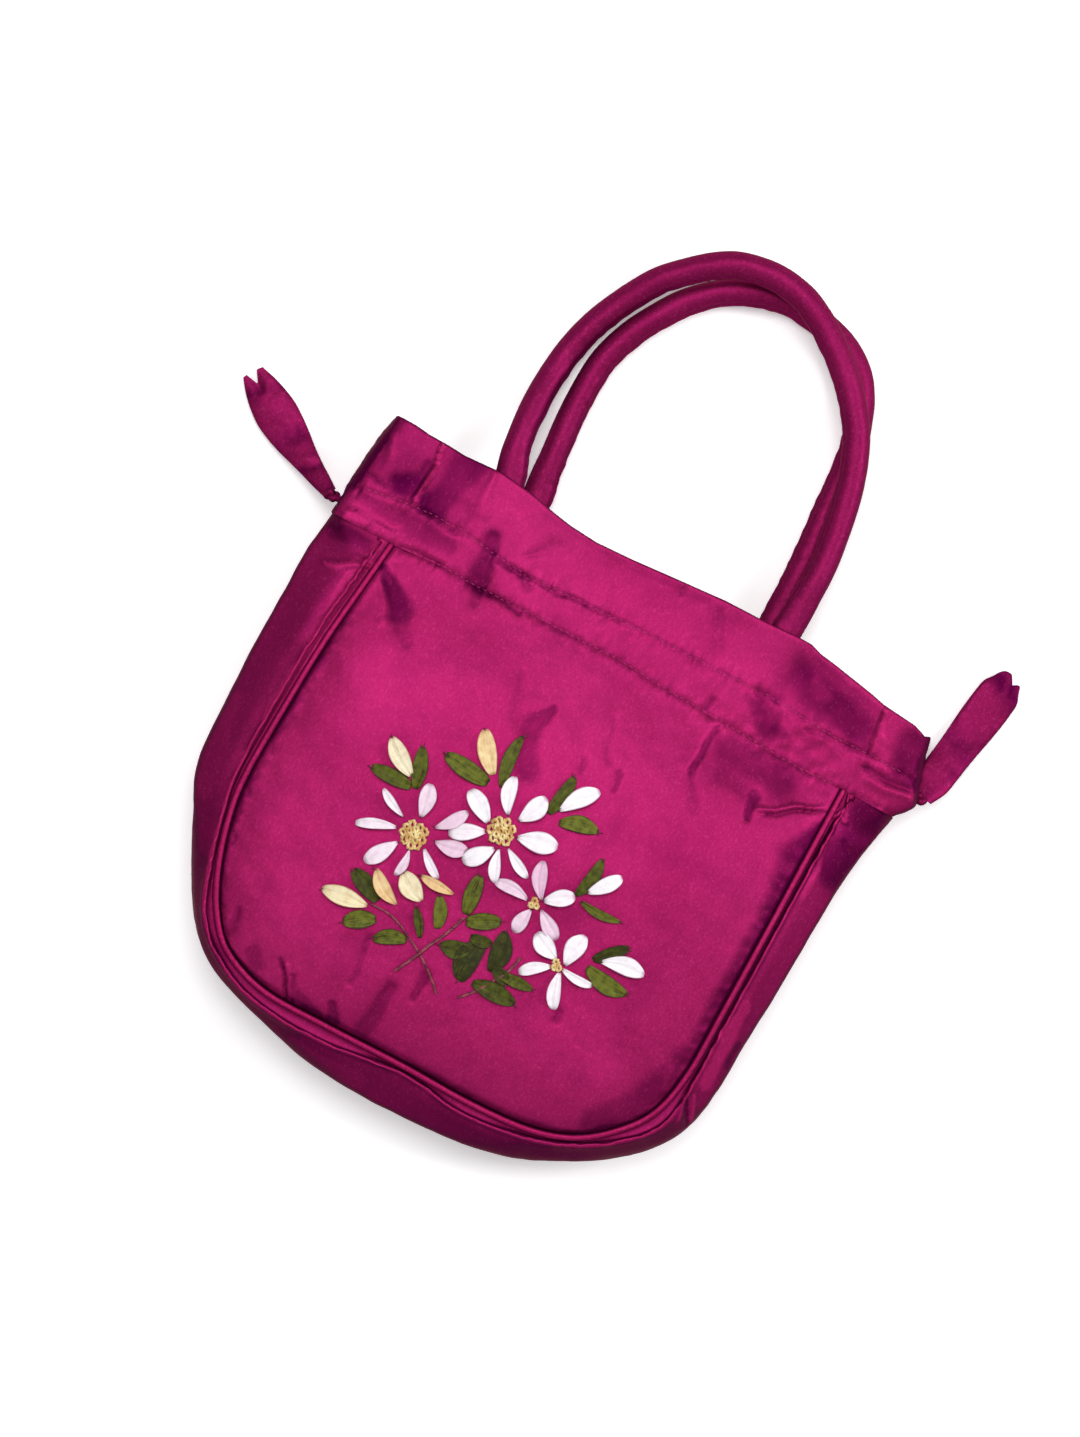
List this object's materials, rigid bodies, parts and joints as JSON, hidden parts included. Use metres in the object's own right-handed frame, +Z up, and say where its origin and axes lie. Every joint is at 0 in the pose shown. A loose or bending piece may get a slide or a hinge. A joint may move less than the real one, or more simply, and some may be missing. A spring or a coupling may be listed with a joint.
{
  "type": "drawstring reticule",
  "caption": "Small padded satin drawstring handbag lying on its back, with piped seams, a gathered casing and collar, two soft tubular handles and ribbon-tabbed cords.",
  "frame": {"origin": "on the floor, at the flat underside of the back panel, near its middle", "axes": "+Y up the bag from its foot to its handles, +X to the right as the front is seen, +Z up off the floor through the front panel"},
  "size_m": [0.2688, 0.2983, 0.0373],
  "materials": {
    "satin": "fuchsia shot satin with a soft sheen",
    "piping_satin": "the same satin pulled tight over a thin cord",
    "cord_satin": "dark satin cord",
    "petal_ribbon": "white and pale pink silk ribbon, in the embroidery of the visual model",
    "bud_ribbon": "cream and yellow silk ribbon, in the embroidery of the visual model",
    "leaf_ribbon": "olive silk ribbon, in the embroidery of the visual model",
    "floss": "gold and purple-brown embroidery floss, in the embroidery of the visual model"
  },
  "bodies": {
    "root": {"front_panel": "satin", "back_panel": "satin", "gusset": "satin", "top_band": "satin", "front_piping": "piping_satin", "back_piping": "piping_satin", "front_handle": "satin", "back_handle": "satin", "drawstring_left": "cord_satin", "drawstring_right": "cord_satin", "knot_left": "cord_satin", "knot_right": "cord_satin", "tab_left": "satin", "tab_right": "satin"}
  },
  "joints": []
}
